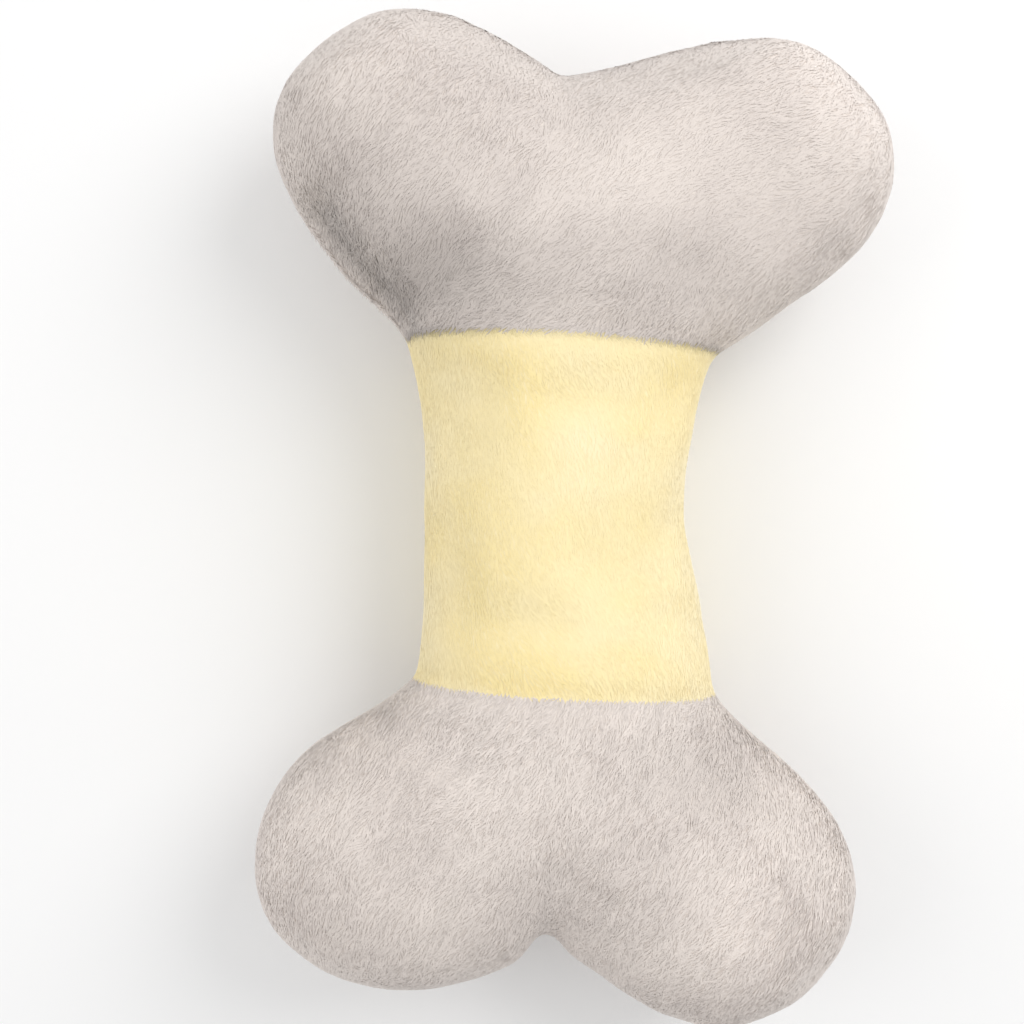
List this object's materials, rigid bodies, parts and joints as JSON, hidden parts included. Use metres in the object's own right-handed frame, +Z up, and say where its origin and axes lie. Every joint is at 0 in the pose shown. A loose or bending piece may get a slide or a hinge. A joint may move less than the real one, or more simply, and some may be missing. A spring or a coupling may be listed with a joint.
{
  "type": "squeaky dog toy",
  "caption": "Stuffed plush bone for a dog, with lobed ends, a contrasting band sewn in between them, and a squeaker that sounds when the band is pressed.",
  "frame": {"origin": "under the middle of the outline, on the surface that the toy's back rests on", "axes": "+X across the bone, to the right in the picture; +Y along the bone, towards its upper end in the picture; +Z up, out of the front face"},
  "size_m": [0.1098, 0.1764, 0.0485],
  "materials": {
    "grey_plush": "short plush pile, matte",
    "yellow_plush": "short plush pile, matte",
    "stuffing_fibre": "loose polyester fibre",
    "grey_thread": "spun thread",
    "yellow_thread": "spun thread",
    "pouch_cloth": "thin nonwoven cloth",
    "soft_plastic": "satin",
    "reed_plastic": "satin",
    "reed_film": "glossy film"
  },
  "bodies": {
    "toy": {"upper_end_front": "grey_plush", "upper_end_back": "grey_plush", "lower_end_front": "grey_plush", "lower_end_back": "grey_plush", "band_back": "yellow_plush", "upper_filling": "stuffing_fibre", "lower_filling": "stuffing_fibre", "band_back_filling": "stuffing_fibre", "upper_front_seam_thread": "grey_thread", "upper_back_seam_thread": "grey_thread", "lower_front_seam_thread": "grey_thread", "lower_back_seam_thread": "grey_thread", "side_seam_thread": "grey_thread", "pouch_thread": "grey_thread", "closing_stitches": "yellow_thread", "pouch_back": "pouch_cloth", "squeaker_bladder": "soft_plastic"},
    "pressed_front": {"band_front": "yellow_plush", "band_front_filling": "stuffing_fibre", "pouch_front": "pouch_cloth", "reed_holder": "reed_plastic", "reed_bed": "reed_plastic", "reed_wedge": "reed_plastic"},
    "reed": {"reed_tongue": "reed_film"}
  },
  "joints": [
    {"name": "band_squeeze", "type": "slide", "parent": "toy", "child": "pressed_front", "axis": [0, 0, -1], "range_m": [0, 0.007], "stiffness_N_per_m": 1200, "deforming": ["band_front", "band_front_filling", "pouch_front", "squeaker_bladder"]},
    {"name": "reed_flutter", "type": "hinge", "parent": "pressed_front", "child": "reed", "pos_m": [-0.00211, 0.0002, 0.0299], "axis": [0, 1, 0], "range_deg": [-4, 4], "stiffness_Nm_per_rad": 0.0002}
  ]
}
